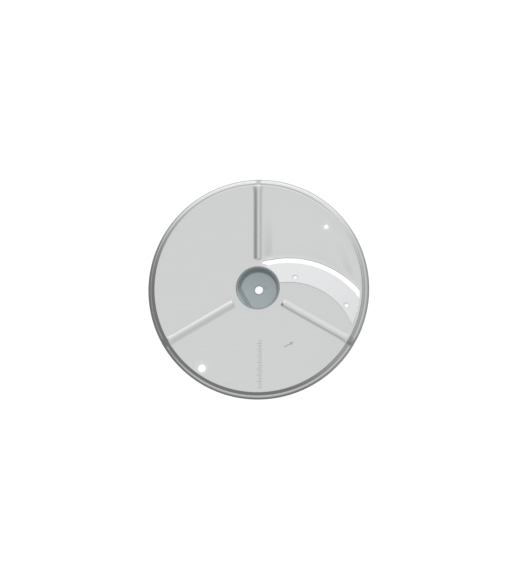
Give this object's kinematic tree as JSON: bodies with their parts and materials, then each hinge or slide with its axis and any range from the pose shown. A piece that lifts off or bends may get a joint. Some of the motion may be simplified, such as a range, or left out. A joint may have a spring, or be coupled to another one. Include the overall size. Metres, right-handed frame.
{
  "type": "food processor slicing disc",
  "caption": "Round pressed-steel slicing disc with radial ribs, a stepped rim, a curved blade behind a throat slot and a recessed moulded hub.",
  "frame": {"origin": "centre of the flat face under the hub, on the axis of rotation", "axes": "+Z along the axis of rotation, from the foot of the hub up through the food side; +Y along the rib that the throat starts beside"},
  "size_m": [0.19, 0.19, 0.0275],
  "materials": {
    "plate_steel": "fine satin",
    "blade_steel": "ground",
    "rivet_steel": "polished",
    "hub_plastic": "fine matt",
    "bush_steel": "turned"
  },
  "bodies": {
    "root": {"disc_plate": "plate_steel", "slicing_blade": "blade_steel", "blade_rivet_inner": "rivet_steel", "blade_rivet_outer": "rivet_steel", "hub_body": "hub_plastic", "drive_bush": "bush_steel"}
  },
  "joints": []
}
